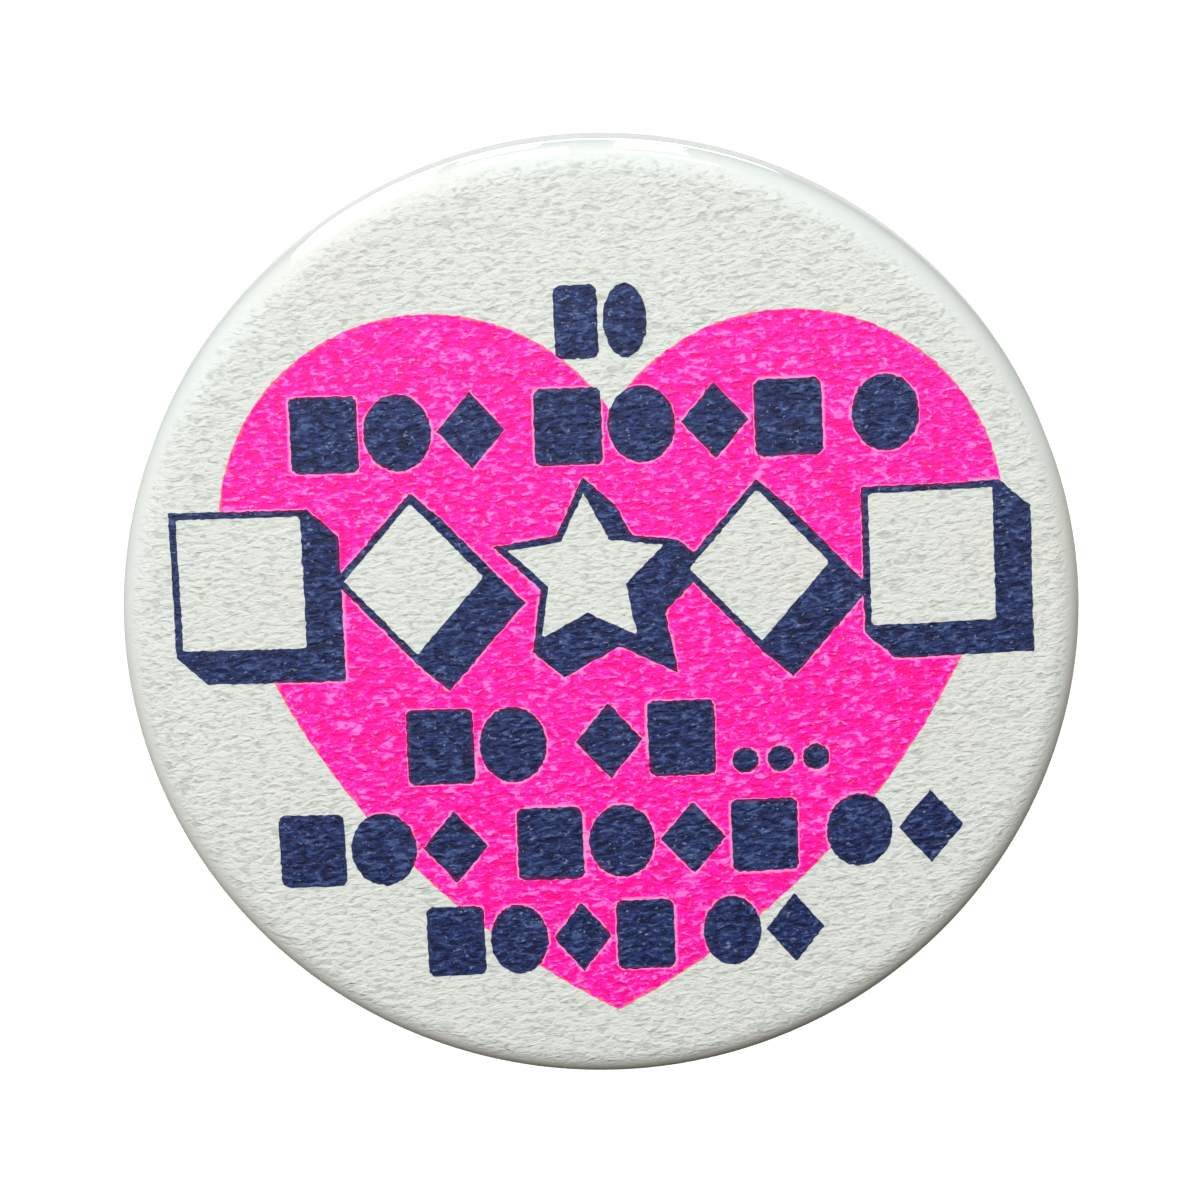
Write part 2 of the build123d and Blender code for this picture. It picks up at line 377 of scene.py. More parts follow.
@dataclass(frozen=True)
class PolyesterFilm:
    """Clear polyester film, pressed onto the paper and pulled tight around the edge.

    Pressing prints the paper's marks into it, so the eye gets a broken, silky shine on the face. Where it
    is pulled tight it is smooth, and the edge mirrors windows as sharp white bands.
    """

    name: str = "clear_polyester_film"
    ior: float = 1.5
    face_roughness: float = 0.12
    edge_roughness: float = 0.015

    def build(self) -> Material:
        """Make the glossy outer surface.

        Returns:
            The material of the outer wall.
        """
        material, tree = new_material(self.name)
        normal = GRAIN.normal(tree, GRAIN.height(tree), 0.45)
        rough = remap(
            tree,
            radius_of(tree),
            (GRAIN.fade_start, self.face_roughness),
            (GRAIN.fade_end, self.edge_roughness),
        )
        links = {"Roughness": rough, "Normal": normal}
        gloss = add_node(tree, "BsdfGlossy", {"Color": linear(WHITE)}, links)
        clear = add_node(tree, "BsdfTransparent", {"Color": linear("#FDFEFD")})
        share = add_node(tree, "Fresnel", {"IOR": self.ior}, {"Normal": normal}).outputs["Fac"]
        behind = add_node(tree, "NewGeometry").outputs["Backfacing"]
        outside = add_node(tree, "Math", {"operation": "SUBTRACT", 0: 1.0}, {1: behind}).outputs["Value"]
        front = add_node(tree, "Math", {"operation": "MULTIPLY"}, {0: share, 1: outside}).outputs["Value"]
        links = {0: front, 1: clear.outputs["BSDF"], 2: gloss.outputs["BSDF"]}
        finish_surface(tree, add_node(tree, "MixShader", links=links).outputs["Shader"])
        return material

    def build_inner(self) -> Material:
        """Make the inner surface, which lies on the paper and shows no gloss of its own.

        Returns:
            The material of the inner wall.
        """
        material, tree = new_material(self.name + "_inside")
        clear = add_node(tree, "BsdfTransparent", {"Color": linear("#FEFFFE")})
        finish_surface(tree, clear.outputs["BSDF"])
        return material


@dataclass(frozen=True)
class Tinplate:
    """Steel sheet that was cold-rolled and dipped in tin.

    Rolling leaves fine lines along the sheet, so the eye gets a bright grey whose reflections are drawn
    out a little, with duller smears where it was handled.
    """

    name: str
    colour: str = "#C9CBCC"
    dull: str = "#A9ABAB"
    line: float = 0.07 * MM
    line_length: float = 9 * MM
    smear: float = 5 * MM
    depth: float = 0.004 * MM

    def build(self) -> Material:
        """Make the material.

        Returns:
            The sheet's material.
        """
        material, tree = new_material(self.name)
        line_cell = Vector((self.line_length, self.line * 4, self.line))
        lines = stretched_noise(tree, line_cell, 0.05, Detail=3.0)
        smears = stretched_noise(tree, Vector((self.smear,) * 3), 0.4, Detail=4.0, Roughness=0.65)
        handled = remap(tree, smears, (0.45, 0.0), (0.8, 0.6))
        colour = blend_colours(tree, handled, self.colour, self.dull)
        rough = remap(tree, smears, (0.3, 0.24), (0.75, 0.42))
        normal = add_node(tree, "Bump", {"Strength": 1.0, "Distance": self.depth}, {"Height": lines})
        links = {"Base Color": colour, "Roughness": rough, "Normal": normal.outputs["Normal"]}
        shader = add_node(tree, "BsdfPrincipled", {"Metallic": 1.0}, links)
        finish_surface(tree, shader.outputs["BSDF"])
        return material


@dataclass(frozen=True)
class NickelWire:
    """Spring wire that was drawn through a die and plated with nickel.

    The plating is smooth, so the eye gets sharp highlights along the wire in a slightly warm grey, with
    faint lines from the die and duller spots of wear.
    """

    name: str = "nickel_plated_spring_wire"
    colour: str = "#CFCBC4"
    worn: str = "#9C958B"
    line: float = 0.05 * MM
    line_length: float = 4 * MM
    wear_length: float = 1.5 * MM
    wear_width: float = 0.5 * MM
    depth: float = 0.003 * MM

    def build(self) -> Material:
        """Make the material.

        Returns:
            The wire's material.
        """
        material, tree = new_material(self.name)
        lines = stretched_noise(tree, Vector((self.line_length, self.line, self.line)), 0.0, Detail=2.0)
        wear_cell = Vector((self.wear_length, self.wear_width, self.wear_width))
        wear = stretched_noise(tree, wear_cell, 0.0, Detail=4.0, Roughness=0.7)
        colour = blend_colours(tree, remap(tree, wear, (0.5, 0.0), (0.72, 0.7)), self.colour, self.worn)
        rough = remap(tree, wear, (0.35, 0.16), (0.7, 0.32))
        normal = add_node(tree, "Bump", {"Strength": 1.0, "Distance": self.depth}, {"Height": lines})
        links = {"Base Color": colour, "Roughness": rough, "Normal": normal.outputs["Normal"]}
        shader = add_node(tree, "BsdfPrincipled", {"Metallic": 1.0}, links)
        finish_surface(tree, shader.outputs["BSDF"])
        return material


PINK_INK = PrintingInk(
    name="fluorescent_pink_ink",
    full="#FF16B4",
    # the hollow colour is partly painted shade
    pooled_with_shade="#F8008C",
    # the bump colour is partly painted highlight
    thin_with_highlight="#FF74D4",
    edge="#FF6A8C",
    trap="#FF8FD4",
    # light specks of missing ink that also stand in for painted glints
    bare="#FFA6DC",
    bare_and_glint_share=0.36,
    glow=0.1,
)
NAVY_INK = PrintingInk(
    name="navy_ink",
    full="#1F3167",
    # the hollow colour is partly painted shade
    pooled_with_shade="#0E1A42",
    # the bump colour is partly painted highlight
    thin_with_highlight="#465A8C",
    edge="#27345F",
    trap="#6E0F4C",
    # light specks of missing ink that also stand in for painted glints
    bare="#8390B8",
    bare_and_glint_share=0.37,
)


# ---------------------------------------------------------------- modelling helpers


def deselect_all() -> None:
    """Leave edit mode and select nothing."""
    if bpy.context.object and bpy.context.object.mode != "OBJECT":
        bpy.ops.object.mode_set(mode="OBJECT")
    bpy.ops.object.select_all(action="DESELECT")


def work_on(obj: Obj) -> None:
    """Make one object the only selected and active one.

    Args:
        obj: The object to work on.
    """
    deselect_all()
    obj.select_set(True)
    bpy.context.view_layer.objects.active = obj


def edit(obj: Obj, mode: str = "VERT") -> None:
    """Open an object in edit mode with all of its mesh selected.

    Args:
        obj: The object to edit.
        mode: VERT, EDGE or FACE.
    """
    work_on(obj)
    bpy.ops.object.mode_set(mode="EDIT")
    bpy.ops.mesh.select_mode(type=mode)
    bpy.ops.mesh.select_all(action="SELECT")


def leave_edit() -> None:
    """Go back to object mode."""
    bpy.ops.object.mode_set(mode="OBJECT")


def select_faces(obj: Obj, test: Callable[[bpy.types.MeshPolygon], bool]) -> None:
    """Select just the faces that pass a test, in object mode.

    Args:
        obj: The object whose faces are selected.
        test: Tells whether a face is wanted.
    """
    bpy.context.tool_settings.mesh_select_mode = (False, False, True)
    mesh = obj.data
    mesh.vertices.foreach_set("select", [False] * len(mesh.vertices))
    mesh.edges.foreach_set("select", [False] * len(mesh.edges))
    mesh.polygons.foreach_set("select", [test(face) for face in mesh.polygons])


def apply_modifier(obj: Obj, kind: str, **settings: Any) -> None:
    """Add a modifier to an object and apply it.

    Args:
        obj: The object to change.
        kind: The modifier's type.
        settings: Its settings.
    """
    work_on(obj)
    modifier = obj.modifiers.new(kind.lower(), kind)
    for key, value in settings.items():
        setattr(modifier, key, value)
    bpy.ops.object.modifier_apply(modifier=modifier.name)


def dress(obj: Obj, *materials: Material) -> None:
    """Give an object its materials, in the order of its slots.

    Args:
        obj: The object to dress.
        materials: One material for each slot.
    """
    obj.data.materials.clear()
    for material in materials:
        obj.data.materials.append(material)


def report(obj: Obj) -> None:
    """Log a finished piece and its size in triangles."""
    triangles = sum(len(face.vertices) - 2 for face in obj.data.polygons)
    log.info("made %s: %d triangles", obj.name, triangles)


# ---------------------------------------------------------------- the badge's section


@dataclass(frozen=True)
class Section:
    """The badge's turned section, as radius and depth in front of the rear rim, in metres."""

    outer: float
    depth: float
    shoulder: float = 1.3 * MM
    rear_corner: float = 1.0 * MM
    skirt_land: float = 0.8 * MM
    tuck: float = 0.8 * MM
    wrap_depth: float = 0.375 * MM
    dome_rise: float = 0.7 * MM
    arc_steps: int = 14
    face_rings: int = 18

    @property
    def face(self) -> float:
        """The radius where the dome meets the shoulder."""
        return self.outer - self.shoulder

    @property
    def skirt_end(self) -> float:
        """The radius at which the shell's edge ends."""
        return self.outer - self.rear_corner - self.skirt_land

    @property
    def dome(self) -> float:
        """The dome's own radius of curvature."""
        return self.shoulder + (self.face**2 + self.dome_rise**2) / (2 * self.dome_rise)

    def arc(self, centre: Point, radius: float, start: float, end: float) -> list[Point]:
        """Points on an arc, from one angle to another.

        Args:
            centre: Radius and depth of the arc's centre.
            radius: The arc's radius.
            start: First angle in degrees, from outwards towards the front.
            end: Last angle in degrees.

        Returns:
            The points after the first.
        """
        points = []
        for step in range(1, self.arc_steps + 1):
            angle = math.radians(start + (end - start) * step / self.arc_steps)
            points.append((centre[0] + radius * math.cos(angle), centre[1] + radius * math.sin(angle)))
        return points

    def line(self, inset: float) -> list[Point]:
        """The outline this far inside, from the centre of the face to the end of the tuck.

        Args:
            inset: How far inside the badge's surface.

        Returns:
            The outline's points.
        """
        reach = self.dome - inset
        centre = self.depth - self.dome
        lean = math.asin(self.face / (self.dome - self.shoulder))
        points = []
        for ring in range(self.face_rings + 1):
            angle = lean * ring / self.face_rings
            points.append((reach * math.sin(angle), centre + reach * math.cos(angle)))
        shoulder_depth = self.depth - self.dome_rise - self.shoulder
        corner = (self.outer - self.rear_corner, self.rear_corner)
        turn = self.wrap_depth - inset
        start = 90 - math.degrees(lean)
        points += self.arc((self.face, shoulder_depth), self.shoulder - inset, start, 0)
        wall = self.rear_corner - shoulder_depth
        thirds = (0.33, 0.67, 1)
        points += [(self.outer - inset, shoulder_depth + wall * third) for third in thirds]
        points += self.arc(corner, self.rear_corner - inset, 0, -90)
        points += [(corner[0] - self.skirt_land * third, inset) for third in thirds]
        points += self.arc((self.skirt_end, self.wrap_depth), turn, -90, -270)
        points += [(self.skirt_end + self.tuck, self.wrap_depth + turn)]
        return points


def lathe(name: str, outline: list[Point], steps: int) -> Obj:
    """Turn an outline about the badge's axis into a closed skin.

    Args:
        name: The piece's name.
        outline: Radius and depth of each point, starting and ending on the axis.
        steps: How many flats the turned skin has around it.

    Returns:
        The turned piece.
    """
    deselect_all()
    bpy.ops.mesh.primitive_circle_add(vertices=3, radius=MM, location=(0, 0, 0))
    obj = bpy.context.object
    obj.name = name
    edit(obj)
    bpy.ops.mesh.merge(type="CENTER")
    here = Vector((0, 0, 0))
    for index, (radius, depth) in enumerate(outline):
        there = Vector((radius, -depth, 0))
        move = {"value": there - here}
        if index:
            bpy.ops.mesh.extrude_region_move(TRANSFORM_OT_translate=move)
        else:
            bpy.ops.transform.translate(**move)
        here = there
    bpy.ops.mesh.select_all(action="SELECT")
    bpy.ops.mesh.spin(steps=steps, angle=math.tau, center=(0, 0, 0), axis=(0, 1, 0))
    bpy.ops.mesh.select_all(action="SELECT")
    bpy.ops.mesh.remove_doubles(threshold=WELD)
    bpy.ops.mesh.normals_make_consistent(inside=False)
    bpy.ops.mesh.faces_shade_smooth()
    leave_edit()
    return obj


# ---------------------------------------------------------------- pieces


@dataclass
class WrappedSheets:
    """The paper and the film, which cover the shell together and are gathered under its rolled edge."""

    section: Section
    film: float = 0.08 * MM
    paper_start: float = 0.1 * MM
    paper: float = 0.15 * MM
    flats: int = 320
    folds: int = 64
    fold_depth: float = 0.05 * MM

    def skin(self, name: str, start: float, thickness: float) -> Obj:
        """Turn one sheet with its front and its back.

        Args:
            name: The piece's name.
            start: How far inside the badge's surface the sheet starts.
            thickness: The sheet's thickness.

        Returns:
            The sheet.
        """
        outside = self.section.line(start)
        inside = self.section.line(start + thickness)
        return lathe(name, outside + inside[::-1], self.flats)

    def gather(self, obj: Obj) -> None:
        """Press small folds into the sheet where it is rolled over the back.

        Args:
            obj: The sheet to fold.
        """
        depths = 3
        golden = 0.618034  # steps of this share of a turn never line up, so the folds look irregular
        folds = {round((fold * golden % 1.0) * self.flats): fold % depths for fold in range(self.folds)}
        bpy.context.tool_settings.mesh_select_mode = (True, False, False)
        edit(obj)
        for depth in range(depths):
            bpy.ops.mesh.select_all(action="DESELECT")
            leave_edit()
            wanted = [folds.get(self.fold_column(vertex.co)) == depth for vertex in obj.data.vertices]
            obj.data.vertices.foreach_set("select", wanted)
            bpy.ops.object.mode_set(mode="EDIT")
            bpy.ops.transform.translate(value=(0, -self.fold_depth * (0.4 + 0.5 * depth), 0))
        leave_edit()

    def fold_column(self, place: Vector) -> int:
        """Tell which radial line of the rolled rear edge a vertex lies on.

        Args:
            place: The vertex's place.

        Returns:
            The line's number, or -1 away from that edge.
        """
        radius = math.hypot(place.x, place.z)
        if place.y < -self.section.rear_corner * 0.6 or radius < self.section.skirt_end:
            return -1
        return round(math.atan2(place.z, place.x) % math.tau / math.tau * self.flats) % self.flats

    def build(self) -> tuple[Obj, Obj]:
        """Make both sheets.

        Returns:
            The paper and the film.
        """
        paper = self.skin("paper_disc", self.paper_start, self.paper)
        film = self.skin("film_cover", 0.0, self.film)
        for sheet in (paper, film):
            self.gather(sheet)
        dress(paper, TextPaper().build())
        finish = PolyesterFilm()
        dress(film, finish.build(), finish.build_inner())
        self.mark_inside(film)
        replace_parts(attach(paper, "badge"), "printed_paper")
        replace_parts(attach(film, "badge"), "clear_film")
        return paper, film

    def mark_inside(self, film: Obj) -> None:
        """Put the film's inner wall in its second material slot.

        Args:
            film: The film.
        """
        middle = [Vector(point) for point in self.section.line(self.film / 2)]
        for face in film.data.polygons:
            face.material_index = 1 if self.is_inner(face, middle) else 0

    @staticmethod
    def is_inner(face: bpy.types.MeshPolygon, middle: list[Vector]) -> bool:
        """Tell whether a face of a wrapped sheet looks at the shell.

        Args:
            face: The face.
            middle: Radius and depth of points along the middle of the sheet's thickness.

        Returns:
            True for a face of the inner wall.
        """
        centre = face.center
        here = Vector((math.hypot(centre.x, centre.z), -centre.y))
        nearest = min(middle, key=lambda point: (point - here).length_squared)
        outward = here - nearest
        radial = Vector((centre.x, centre.z))
        across = radial.normalized() if radial.length > 0 else Vector((0, 0))
        facing = Vector((face.normal.x * across.x + face.normal.z * across.y, -face.normal.y))
        return facing.dot(outward) < 0


class Ink(Enum):
    """The two inks, each named by its colour."""

    PINK = "pink"
    NAVY = "navy"


INK_FINISHES = {Ink.PINK: PINK_INK, Ink.NAVY: NAVY_INK}


@dataclass
class InkLayer:
    """One printed ink: a thin skin on the paper, with the slightly ragged edge of a pressed print."""

    ink: Ink
    paper: Obj
    grid: float = 0.3 * MM
    ragged: float = 0.13 * MM
    ragged_size: float = 0.16 * MM
    thickness: float = 0.008 * MM
    sink: float = 0.001 * MM

    @property
    def node(self) -> str:
        """The ink's node in the frame."""
        return f"{self.ink.value}_ink"

    def copy_front(self) -> Obj:
        """Copy the front of the ink's node as an open skin.

        Returns:
            The new skin.
        """
        work_on(frame["nodes"][self.node])
        bpy.ops.object.duplicate()
        obj = bpy.context.object
        obj.name = f"{self.ink.value}_print"
        for key in list(obj.keys()):
            del obj[key]
        obj.parent = None
        work_on(obj)
        bpy.ops.mesh.customdata_custom_splitnormals_clear()
        edit(obj)
        bpy.ops.mesh.remove_doubles(threshold=WELD)
        leave_edit()
        select_faces(obj, lambda face: face.normal.y > -0.5)
        bpy.ops.object.mode_set(mode="EDIT")
        bpy.ops.mesh.delete(type="FACE")
        leave_edit()
        return obj

    def cut_cells(self, obj: Obj) -> None:
        """Cut the skin into small cells, so that it can curve with the face and its edge can be uneven.

        Args:
            obj: The ink's skin.
        """
        low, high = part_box(self.node)
        edit(obj)
        for axis in (0, 2):
            normal = [0.0, 0.0, 0.0]
            normal[axis] = 1.0
            for cut in range(math.ceil(low[axis] / self.grid), math.floor(high[axis] / self.grid) + 1):
                place = [0.0, 0.0, 0.0]
                place[axis] = cut * self.grid
                bpy.ops.mesh.select_all(action="SELECT")
                bpy.ops.mesh.bisect(plane_co=place, plane_no=normal, threshold=MM / 10000)
                bpy.ops.mesh.mark_seam()
        bpy.ops.mesh.select_all(action="SELECT")
        bpy.ops.mesh.dissolve_limited(angle_limit=math.radians(5), delimit={"SEAM"})
        self.select_rim()
        bpy.ops.mesh.subdivide(number_cuts=1)
        self.select_rim()
        group = obj.vertex_groups.new(name="rim")
        obj.vertex_groups.active = group
        bpy.ops.object.vertex_group_assign()
        leave_edit()

    @staticmethod
    def select_rim() -> None:
        """Select the open edge of the skin being edited."""
        bpy.ops.mesh.select_mode(type="EDGE")
        bpy.ops.mesh.select_all(action="DESELECT")
        bpy.ops.mesh.select_non_manifold(extend=False, use_wire=False, use_multi_face=False, use_verts=False)

    def skin(self) -> Obj:
        """Make the ink's open skin, cut into cells.

        Returns:
            The skin, with its open edge in the group rim.
        """
        obj = self.copy_front()
        self.cut_cells(obj)
        return obj

    def press(self, obj: Obj) -> Obj:
        """Press the skin onto the paper as a thin printed layer.

        Args:
            obj: The ink's skin.

        Returns:
            The finished piece.
        """
        rough = bpy.data.textures.new("ragged_edge", "CLOUDS")
        rough.noise_scale = self.ragged_size
        rough.cloud_type = "COLOR"
        apply_modifier(
            obj,
            "DISPLACE",
            texture=rough,
            texture_coords="LOCAL",
            direction="RGB_TO_XYZ",
            strength=self.ragged,
            mid_level=0.5,
            vertex_group="rim",
        )
        lift = self.thickness - self.sink
        apply_modifier(obj, "SHRINKWRAP", target=self.paper, wrap_mode="ABOVE_SURFACE", offset=lift)
        apply_modifier(obj, "SOLIDIFY", thickness=self.thickness, offset=-1.0)
        edit(obj)
        bpy.ops.mesh.normals_make_consistent(inside=False)
        leave_edit()
        bpy.ops.object.shade_smooth_by_angle(angle=math.radians(40))
        dress(obj, INK_FINISHES[self.ink].build())
        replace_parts(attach(obj, "badge"), self.node)
        return obj


@dataclass
class Artwork:
    """The whole print: both inks, each knowing where its edge meets the other one."""

    paper: Obj
    touch: float = 0.03 * MM

    def mark_edges(self, skin: Obj, other: Obj) -> None:
        """Mark which of a skin's open edges lie on bare paper and which meet the other ink.

        Args:
            skin: The skin to mark.
            other: The other ink's skin.
        """
        rims = [vertex.co for vertex in other.data.vertices if vertex.groups]
        tree = KDTree(len(rims))
        for index, place in enumerate(rims):
            tree.insert(place, index)
        tree.balance()
        bare, shared = [], []
        for vertex in skin.data.vertices:
            meets = bool(vertex.groups) and tree.find(vertex.co)[2] < self.touch
            shared.append(1.0 if meets else 0.0)
            bare.append(1.0 if vertex.groups and not meets else 0.0)
        for name, values in (("bare_edge", bare), ("shared_edge", shared)):
            skin.data.attributes.new(name, "FLOAT", "POINT").data.foreach_set("value", values)

    def build(self) -> list[Obj]:
        """Make both inks.

        Returns:
            The pink and the navy piece.
        """
        layers = [InkLayer(ink, self.paper) for ink in Ink]
        skins = [layer.skin() for layer in layers]
        self.mark_edges(skins[0], skins[1])
        self.mark_edges(skins[1], skins[0])
        return [layer.press(skin) for layer, skin in zip(layers, skins)]


@dataclass
class WirePin:
    """The spring wire: a foot under the bridges, a hairpin bend, and a long arm that ends in a point."""

    root: Vector
    foot_end: Vector
    point: Vector
    radius: float
    taper: float = 4.6 * MM
    point_radius: float = 0.03 * MM
    flats: int = 28
    bend_steps: int = 28
    run: float = 0.8 * MM
    point_steps: int = 14
    point_fullness: float = 1.35

    def build(self) -> Obj:
        """Draw the wire from the cut end of its foot to its point.

        Returns:
            The finished wire.
        """
        foot_root = Vector((self.root.x, self.foot_end.y, self.foot_end.z))
        deselect_all()
        bpy.ops.mesh.primitive_circle_add(
            vertices=self.flats,
            radius=self.radius,
            fill_type="NGON",
            location=self.foot_end,
            rotation=(0, math.pi / 2, 0),
        )
        obj = bpy.context.object
        obj.name = "spring_wire"
        bpy.ops.object.transform_apply(location=True, rotation=True, scale=True)
        edit(obj, "FACE")
        self.extrude_along(foot_root - self.foot_end)
        across = self.root - foot_root
        axis = Vector((1, 0, 0)).cross(across).normalized()
        centre = (self.root + foot_root) / 2
        bpy.ops.mesh.spin(steps=self.bend_steps, angle=math.pi, center=centre, axis=axis)
        shaft = self.point.x - self.taper - self.root.x
        self.extrude_along(Vector((shaft, 0, 0)))
        self.draw_point()
        bpy.ops.mesh.select_all(action="SELECT")
        bpy.ops.mesh.normals_make_consistent(inside=False)
        leave_edit()
        self.round_cut_end(obj)
        dress(obj, NickelWire().build())
        work_on(obj)
        bpy.ops.object.shade_smooth_by_angle(angle=math.radians(50))
        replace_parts(obj, "pin_foot", "pin_arm")
        return obj

    def extrude_along(self, travel: Vector) -> None:
        """Draw the selected end of the wire straight out in short runs.

        Args:
            travel: How far and which way.
        """
        runs = max(1, round(travel.length / self.run))
        for _ in range(runs):
            bpy.ops.mesh.extrude_region_move(TRANSFORM_OT_translate={"value": travel / runs})

    def draw_point(self) -> None:
        """Grind the end of the arm to a long point with a slightly full curve."""
        travel = Vector((self.taper / self.point_steps, 0, 0))
        width = self.radius
        for step in range(1, self.point_steps + 1):
            share = step / self.point_steps
            wanted = self.point_radius + (self.radius - self.point_radius) * (1 - share**self.point_fullness)
            bpy.ops.mesh.extrude_region_move(TRANSFORM_OT_translate={"value": travel})
            bpy.ops.transform.resize(value=(1, wanted / width, wanted / width))
            width = wanted

    def round_cut_end(self, obj: Obj) -> None:
        """Break the sharp edge of the foot's cut end.

        Args:
            obj: The wire.
        """
        end = self.foot_end.x
        near = 0.001 * MM
        select_faces(obj, lambda face: abs(face.center.x - end) < near and abs(face.normal.x) > 0.9)
        bpy.ops.object.mode_set(mode="EDIT")
        bpy.ops.mesh.bevel(offset=self.radius * 0.25, segments=3, affect="EDGES")
        leave_edit()


@dataclass
class MetalBack:
    """The tinplate shell and back plate, which keep the frame's own shapes."""

    shell: Tinplate = Tinplate("plain_tinplate")
    plate: Tinplate = Tinplate("bright_tinplate")

    def build(self) -> list[Obj]:
        """Dress both parts.

        Returns:
            The two parts.
        """
        made = []
        for node, finish in (("front_shell", self.shell), ("back_plate", self.plate)):
            part = frame["nodes"][node]
            dress(part, finish.build())
            made.append(part)
        return made


# ---------------------------------------------------------------- studio


@dataclass
class Studio:
    """The camera, the pale floor and the soft light of a room with a roof window."""

    # the camera's place, and what it sees
    distance: float = 230 * MM
    elevation: float = math.radians(13.3)
    roll: float = math.radians(0.9)
    seen_width: float = 47.62 * MM
    aim_left: float = 0.05 * MM
    aim_up: float = 0.42 * MM
    floor_drop: float = 60 * MM
    floor_size: float = 8.0
    floor_glow: float = 0.8
    # the key light's place, as turned from straight in front, raised, and metres away
    key_turn: float = math.radians(-13)
    key_rise: float = math.radians(31)
    key_away: float = 3.0
    key_size: Point = (1.8, 1.3)
    key_light: float = 11.9
    window_height: float = 1.0
    window_light: float = 4.5
    # left, right, front and back edge of each pane, in metres from the badge
    window_panes: tuple[tuple[float, ...], ...] = (
        (-1.1, -0.44, -0.3, -0.2),
        (-1.1, -0.44, -0.12, 1.1),
        (-0.38, -0.07, -0.3, 0.3),
        (-0.38, -0.15, 0.55, 1.1),
        (-0.02, 0.34, -0.3, -0.1),
        (0.05, 0.24, 0.08, 1.1),
        (-1.1, 0.6, 1.4, 2.4),
    )
    # how much of the room's light reaches matt surfaces
    ambient: float = 0.66
    # the room gets brighter this way, from 0 straight below to 1 straight above
    room_up: tuple[float, float, float] = (-0.2, 0.1, 0.97)
    room_colours: tuple[tuple[float, str], ...] = (
        (0.05, "#33250F"),
        (0.22, "#6E5836"),
        (0.37, "#C9BBA4"),
        (0.5, "#FFFFFF"),
        (0.72, "#E6E9E9"),
    )

    def camera(self, aim: Vector) -> None:
        """Stand the camera in front of the badge and a little above it.

        Args:
            aim: The point that the camera looks at.
        """
        towards = Vector((0, -math.cos(self.elevation), math.sin(self.elevation)))
        data = bpy.data.cameras.new("camera")
        data.lens = data.sensor_width * self.distance / self.seen_width
        data.clip_start = 1 * MM
        obj = bpy.data.objects.new("camera", data)
        turned = (-towards).to_track_quat("-Z", "Y").to_matrix() @ Matrix.Rotation(-self.roll, 3, "Z")
        place = aim + towards * self.distance + turned @ Vector((-self.aim_left, self.aim_up, 0))
        obj.matrix_world = Matrix.Translation(place) @ turned.to_4x4()
        bpy.context.scene.collection.objects.link(obj)
        bpy.context.scene.camera = obj

    def floor(self) -> None:
        """Lay a wide pale floor below the badge, which is seen but throws no light back on it."""
        deselect_all()
        place = (0, 0, CAD_BOX[0][2] - self.floor_drop)
        bpy.ops.mesh.primitive_plane_add(size=self.floor_size, location=place)
        obj = bpy.context.object
        obj.name = "floor"
        material, tree = new_material("pale_floor")
        settings = {"Base Color": linear("#F4F4F4"), "Roughness": 1.0, "Specular IOR Level": 0.0}
        settings.update({"Emission Color": linear(WHITE), "Emission Strength": self.floor_glow})
        finish_surface(tree, add_node(tree, "BsdfPrincipled", settings).outputs["BSDF"])
        dress(obj, material)
        obj.visible_diffuse = False
        obj.visible_glossy = False

    def hang(self, name: str, matrix: Matrix, size: Point, strength: float, shine_only: bool) -> None:
        """Hang a rectangular light, which shines along its own -Z.

        Args:
            name: The light's name.
            matrix: Where it hangs and how it is turned.
            size: Its width and height.
            strength: Its radiance, where 1 is a white card in full light.
            shine_only: Whether it is just seen in glossy surfaces, or just lights matt ones.
        """
        data = bpy.data.lights.new(name, "AREA")
        data.shape = "RECTANGLE"
        data.size, data.size_y = size
        data.energy = strength * math.pi * size[0] * size[1]
        obj = bpy.data.objects.new(name, data)
        obj.matrix_world = matrix
        obj.visible_camera = False
        obj.visible_glossy = shine_only
        obj.visible_diffuse = not shine_only
        bpy.context.scene.collection.objects.link(obj)

    def key_softbox(self) -> None:
        """Hang the main softbox in front of the badge, a little to the left and above."""
        turn, rise = self.key_turn, self.key_rise
        way = Vector((math.sin(turn) * math.cos(rise), -math.cos(turn) * math.cos(rise), math.sin(rise)))
        turned = (-way).to_track_quat("-Z", "Y").to_matrix().to_4x4()
        place = Matrix.Translation(way * self.key_away)
        self.hang("key_softbox", place @ turned, self.key_size, self.key_light, False)

    def roof_window(self) -> None:
        """Lay the panes of a wide roof window overhead, with bars between, to shine in the glossy edge."""
        for number, (left, right, front, back) in enumerate(self.window_panes):
            place = Vector(((left + right) / 2, (front + back) / 2, self.window_height))
            size = (right - left, back - front)
            self.hang(f"pane_{number}", Matrix.Translation(place), size, self.window_light, True)

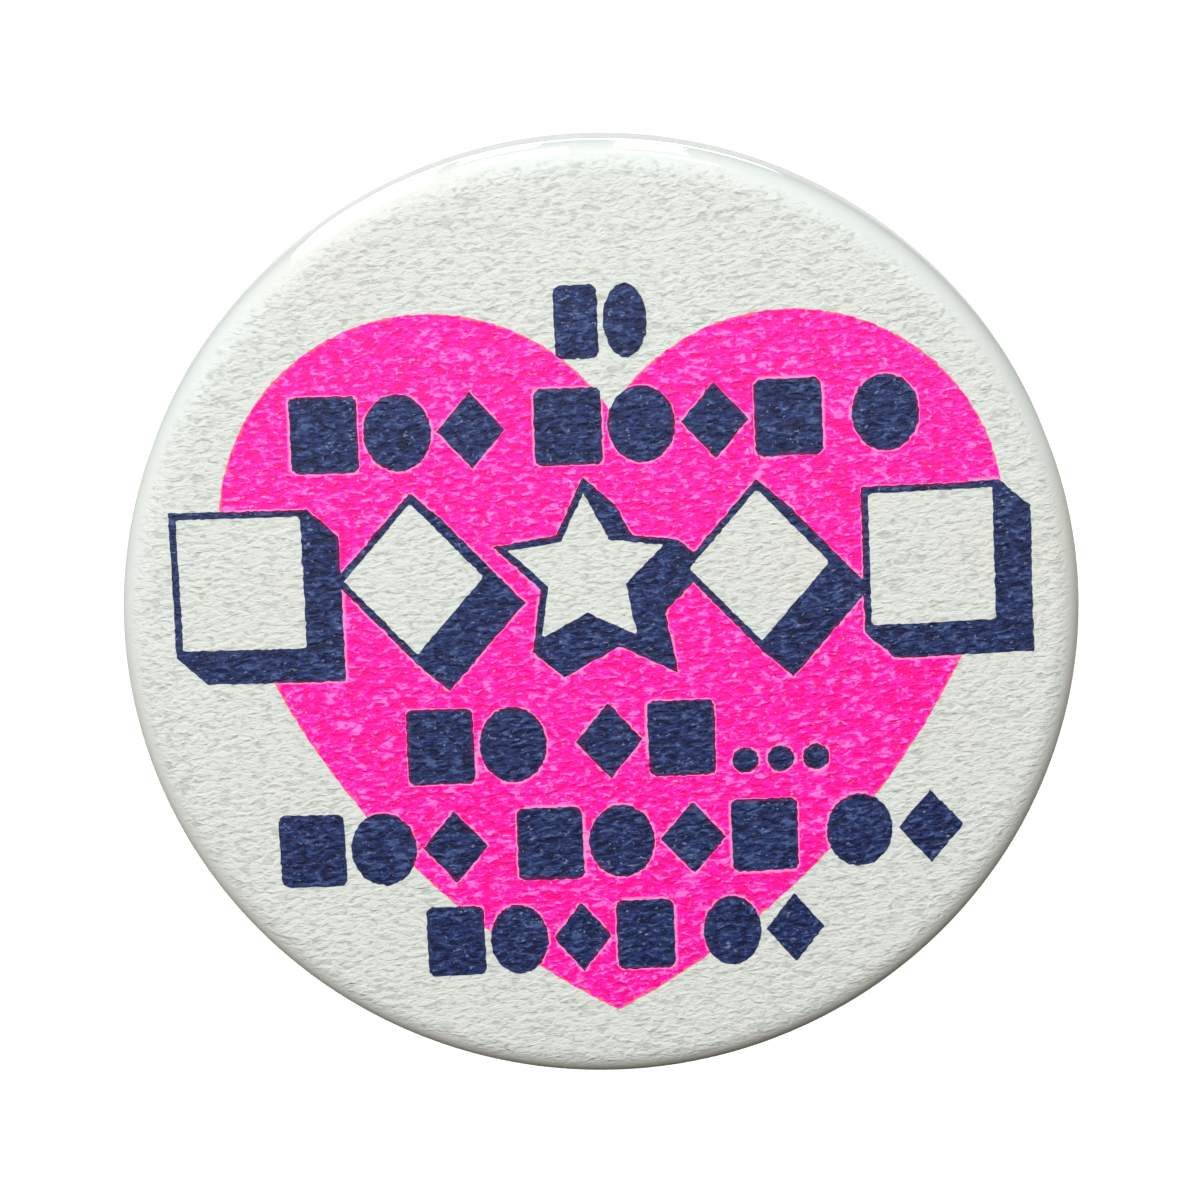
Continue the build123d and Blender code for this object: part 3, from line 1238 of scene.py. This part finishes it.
    def world(self) -> None:
        """Surround the badge with a bright room above and a dark brown table below it."""
        world = bpy.data.worlds.new("room")
        world.use_nodes = True
        tree = world.node_tree
        tree.nodes.clear()
        way = add_node(tree, "TexCoord").outputs["Generated"]
        up = Vector(self.room_up).normalized()
        height = add_node(tree, "VectorMath", {"operation": "DOT_PRODUCT", 1: up}, {0: way})
        share = remap(tree, height.outputs["Value"], (-1.0, 0.0), (1.0, 1.0), smooth=False)
        ramp = add_node(tree, "ValToRGB", links={"Fac": share})
        elements = ramp.color_ramp.elements
        while len(elements) < len(self.room_colours):
            elements.new(0.5)
        for element, (position, colour) in zip(elements, self.room_colours):
            element.position = position
            element.color = linear(colour)
        rays = add_node(tree, "LightPath")
        dimmed = {"operation": "MULTIPLY_ADD", 1: self.ambient - 1.0, 2: 1.0}
        strength = add_node(tree, "Math", dimmed, {0: rays.outputs["Is Diffuse Ray"]}).outputs["Value"]
        room = add_node(tree, "Background", links={"Color": ramp.outputs["Color"], "Strength": strength})
        white = add_node(tree, "Background", {"Color": linear(WHITE), "Strength": 1.0})
        seen = rays.outputs["Is Camera Ray"]
        links = {0: seen, 1: room.outputs["Background"], 2: white.outputs["Background"]}
        mixed = add_node(tree, "MixShader", links=links)
        add_node(tree, "OutputWorld", links={"Surface": mixed.outputs["Shader"]})
        bpy.context.scene.world = world

    def build(self) -> None:
        """Set up the whole studio."""
        middle = (Vector(CAD_BOX[0]) + Vector(CAD_BOX[1])) / 2
        bpy.context.scene.view_settings.view_transform = "Standard"
        self.camera(middle)
        self.floor()
        self.world()
        self.roof_window()
        self.key_softbox()


def main() -> None:
    """Build the badge's visible pieces and the studio around them."""
    logging.basicConfig(level=logging.INFO, format="%(message)s")
    low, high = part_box("clear_film")
    section = Section(outer=(high.x - low.x) / 2, depth=high.y - low.y)
    paper, film = WrappedSheets(section).build()
    prints = Artwork(paper).build()
    arm_low, arm_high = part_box("pin_arm")
    foot_low, foot_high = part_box("pin_foot")
    radius = (arm_high.z - arm_low.z) / 2
    root = Vector(frame["joints"][0]["pos_m"])
    foot_z = foot_low.z + radius
    foot_y = foot_low.y + radius
    foot_end = Vector((foot_high.x, foot_y, foot_z))
    point = Vector((arm_high.x, root.y, root.z))
    wire = WirePin(root, foot_end, point, radius).build()
    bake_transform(wire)
    metal = MetalBack().build()
    for piece in [paper, film, *prints, wire, *metal]:
        report(piece)
    Studio().build()


if __name__ == "__main__":
    main()
